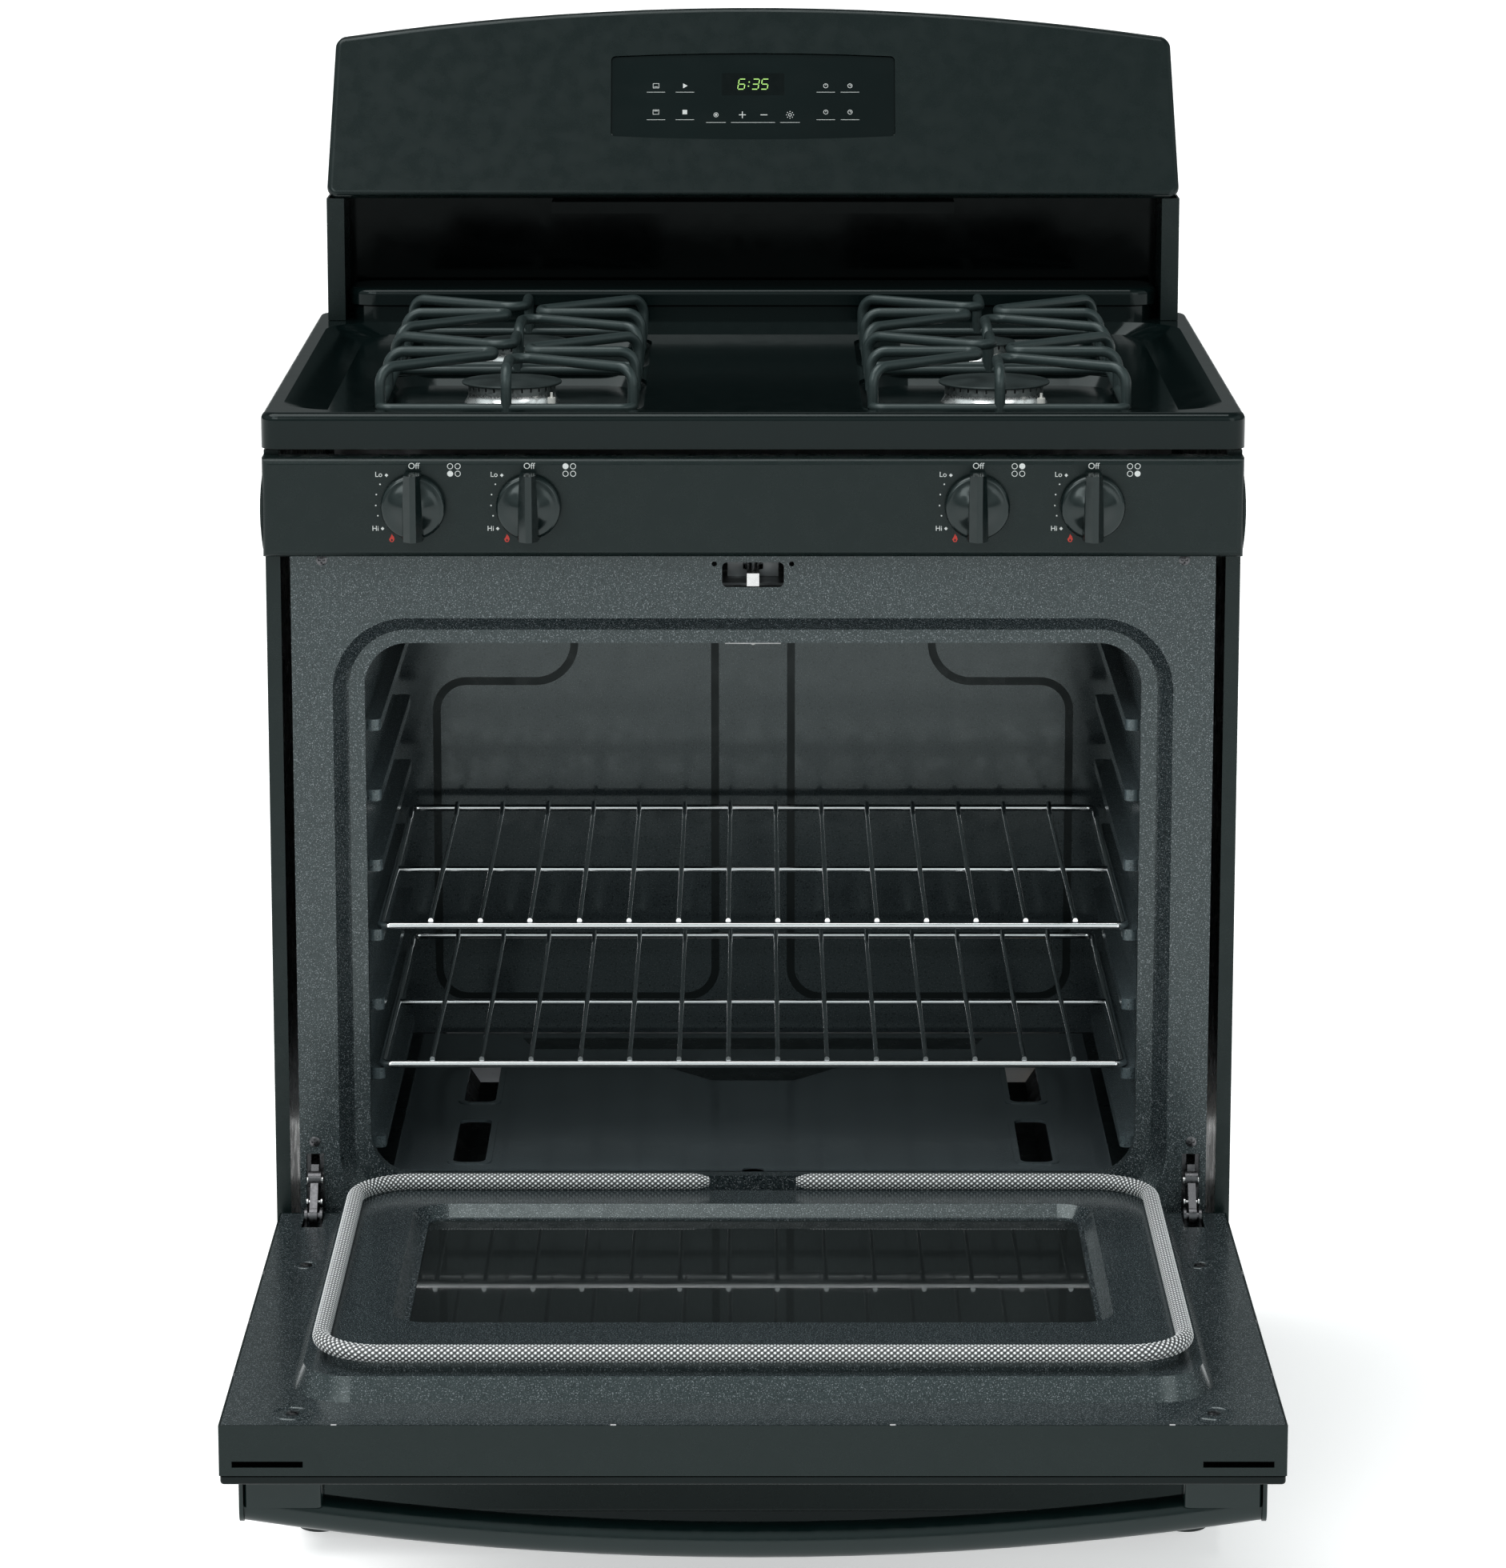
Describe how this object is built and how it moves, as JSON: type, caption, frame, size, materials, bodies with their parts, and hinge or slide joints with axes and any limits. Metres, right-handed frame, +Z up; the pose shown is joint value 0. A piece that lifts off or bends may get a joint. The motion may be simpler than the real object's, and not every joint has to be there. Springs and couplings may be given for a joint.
{
  "type": "freestanding gas range",
  "caption": "Black 30-inch freestanding gas range with sealed burners, wire grates, backguard controls, an oven door lying open and a storage drawer below.",
  "frame": {"origin": "on the floor, under the middle of the range's overall box with the oven door lying open", "axes": "+X to the right seen from the front, +Y to the back, +Z up"},
  "size_m": [0.76, 1.18, 1.178],
  "materials": {
    "black_enamel": "gloss black enamel",
    "galvanised_steel": "galvanised sheet",
    "grey_porcelain": "speckled grey porcelain enamel",
    "cavity_porcelain": "dark speckled porcelain enamel",
    "bright_steel": "plated steel",
    "burner_steel": "aluminised steel",
    "rack_chrome": "bright chrome plate",
    "burner_aluminium": "bright cast aluminium",
    "burner_enamel": "matte dark enamel",
    "grate_enamel": "matte dark grey enamel",
    "brass": "machined",
    "valve_steel": "turned steel",
    "knob_plastic": "gloss black",
    "handle_plastic": "gloss black",
    "door_glass_black": "black backed glass",
    "clear_glass": "tinted glass",
    "gasket_braid": "braided glass fibre",
    "igniter_ceramic": "white ceramic",
    "feet_rubber": "moulded black"
  },
  "bodies": {
    "cabinet": {"backguard_back_panel": "black_enamel", "backguard_brackets": "black_enamel", "backguard_housing": "black_enamel", "bake_burner": "burner_steel", "base_frame": "galvanised_steel", "broil_burner": "burner_steel", "burner_bases": "burner_aluminium", "burner_caps": "burner_enamel", "burner_heads": "burner_enamel", "burner_igniters": "igniter_ceramic", "control_glass": "door_glass_black", "control_panel": "black_enamel", "cooktop": "black_enamel", "cord_gland": "feet_rubber", "door_hinges": "bright_steel", "door_lock_housing": "galvanised_steel", "drawer_rails": "galvanised_steel", "front_frame_screws": "bright_steel", "gas_inlet": "brass", "gas_manifold": "burner_steel", "gas_valves": "brass", "leveling_feet": "feet_rubber", "oven_back_wall": "cavity_porcelain", "oven_base_pan": "galvanised_steel", "oven_ceiling": "cavity_porcelain", "oven_floor_panel": "cavity_porcelain", "oven_front_frame": "grey_porcelain", "oven_light_lens": "clear_glass", "oven_side_walls": "cavity_porcelain", "rear_panel": "galvanised_steel", "side_panel_left": "black_enamel", "side_panel_right": "black_enamel", "temperature_sensor": "bright_steel"},
    "door": {"door_outer_shell": "black_enamel", "door_front_panel": "door_glass_black", "door_outer_glass": "clear_glass", "door_inner_panel": "grey_porcelain", "door_inner_glass": "clear_glass", "door_gasket": "gasket_braid", "door_screws": "bright_steel", "hinge_pins": "bright_steel", "door_handle_bar": "handle_plastic", "door_handle_brackets": "handle_plastic"},
    "drawer": {"drawer_front": "black_enamel", "drawer_box": "galvanised_steel"},
    "rack_upper": {"rack_upper": "rack_chrome"},
    "rack_lower": {"rack_lower": "rack_chrome"},
    "lock_hook": {"door_lock_hook": "bright_steel"},
    "stem_left_front": {"valve_stem_left_front": "valve_steel"},
    "knob_left_front": {"knob_left_front": "knob_plastic"},
    "stem_left_rear": {"valve_stem_left_rear": "valve_steel"},
    "knob_left_rear": {"knob_left_rear": "knob_plastic"},
    "stem_right_rear": {"valve_stem_right_rear": "valve_steel"},
    "knob_right_rear": {"knob_right_rear": "knob_plastic"},
    "stem_right_front": {"valve_stem_right_front": "valve_steel"},
    "knob_right_front": {"knob_right_front": "knob_plastic"},
    "grate_left_front": {"grate_left_front": "grate_enamel"},
    "grate_left_rear": {"grate_left_rear": "grate_enamel"},
    "grate_right_front": {"grate_right_front": "grate_enamel"},
    "grate_right_rear": {"grate_right_rear": "grate_enamel"}
  },
  "joints": [
    {"name": "door_hinge", "type": "hinge", "parent": "cabinet", "child": "door", "pos_m": [0, -0.068, 0.276], "axis": [1, 0, 0], "range_deg": [-90, 0]},
    {"name": "drawer_slide", "type": "slide", "parent": "cabinet", "child": "drawer", "axis": [0, -1, 0], "range_m": [0, 0.38]},
    {"name": "rack_upper_slide", "type": "slide", "parent": "cabinet", "child": "rack_upper", "axis": [0, -1, 0], "range_m": [0, 0.33]},
    {"name": "rack_lower_slide", "type": "slide", "parent": "cabinet", "child": "rack_lower", "axis": [0, -1, 0], "range_m": [0, 0.33]},
    {"name": "lock_hook_turn", "type": "hinge", "parent": "cabinet", "child": "lock_hook", "pos_m": [0, -0.001, 0.786], "axis": [0, 0, 1], "range_deg": [0, 20]},
    {"name": "knob_push_left_front", "type": "slide", "parent": "cabinet", "child": "stem_left_front", "axis": [0, 1, 0], "range_m": [0, 0.003], "stiffness_N_per_m": 400},
    {"name": "knob_turn_left_front", "type": "hinge", "parent": "stem_left_front", "child": "knob_left_front", "pos_m": [-0.2613, -0.075, 0.844], "axis": [0, -1, 0], "range_deg": [0, 140]},
    {"name": "knob_push_left_rear", "type": "slide", "parent": "cabinet", "child": "stem_left_rear", "axis": [0, 1, 0], "range_m": [0, 0.003], "stiffness_N_per_m": 400},
    {"name": "knob_turn_left_rear", "type": "hinge", "parent": "stem_left_rear", "child": "knob_left_rear", "pos_m": [-0.1726, -0.075, 0.844], "axis": [0, -1, 0], "range_deg": [0, 140]},
    {"name": "knob_push_right_rear", "type": "slide", "parent": "cabinet", "child": "stem_right_rear", "axis": [0, 1, 0], "range_m": [0, 0.003], "stiffness_N_per_m": 400},
    {"name": "knob_turn_right_rear", "type": "hinge", "parent": "stem_right_rear", "child": "knob_right_rear", "pos_m": [0.1726, -0.075, 0.844], "axis": [0, -1, 0], "range_deg": [0, 140]},
    {"name": "knob_push_right_front", "type": "slide", "parent": "cabinet", "child": "stem_right_front", "axis": [0, 1, 0], "range_m": [0, 0.003], "stiffness_N_per_m": 400},
    {"name": "knob_turn_right_front", "type": "hinge", "parent": "stem_right_front", "child": "knob_right_front", "pos_m": [0.2613, -0.075, 0.844], "axis": [0, -1, 0], "range_deg": [0, 140]},
    {"name": "grate_left_front_lift", "type": "slide", "parent": "cabinet", "child": "grate_left_front", "axis": [0, 0, 1], "range_m": [0, 0.06]},
    {"name": "grate_left_rear_lift", "type": "slide", "parent": "cabinet", "child": "grate_left_rear", "axis": [0, 0, 1], "range_m": [0, 0.06]},
    {"name": "grate_right_front_lift", "type": "slide", "parent": "cabinet", "child": "grate_right_front", "axis": [0, 0, 1], "range_m": [0, 0.06]},
    {"name": "grate_right_rear_lift", "type": "slide", "parent": "cabinet", "child": "grate_right_rear", "axis": [0, 0, 1], "range_m": [0, 0.06]}
  ]
}
